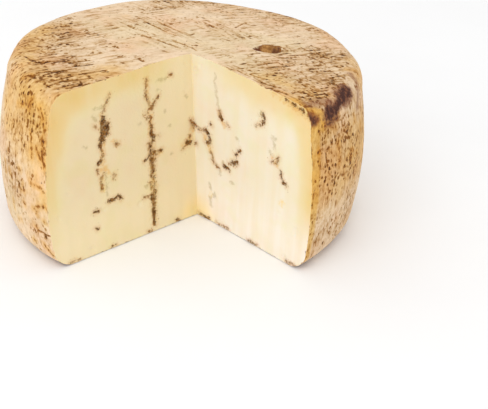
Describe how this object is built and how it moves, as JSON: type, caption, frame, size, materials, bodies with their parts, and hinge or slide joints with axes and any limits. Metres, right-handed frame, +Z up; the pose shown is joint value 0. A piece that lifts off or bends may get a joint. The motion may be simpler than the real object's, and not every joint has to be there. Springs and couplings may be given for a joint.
{
  "type": "cheese wheel",
  "caption": "Drum-shaped wheel of firm blue cheese with a streaked natural rind, a quarter cut out to show the veined paste, and a sampling dimple in its top.",
  "frame": {"origin": "centre of the flat base, on the wheel's axis", "axes": "+Z up along the wheel's axis, -Y towards the notch that was cut out, +X to the right as seen from the notch"},
  "size_m": [0.2085, 0.1933, 0.099],
  "materials": {
    "cheese": "dry natural rind, beige with brown and dark streaks, and soft waxy pale yellow paste with grey-green veins on the cut faces"
  },
  "bodies": {
    "root": {"cheese_wheel": "cheese"}
  },
  "joints": []
}
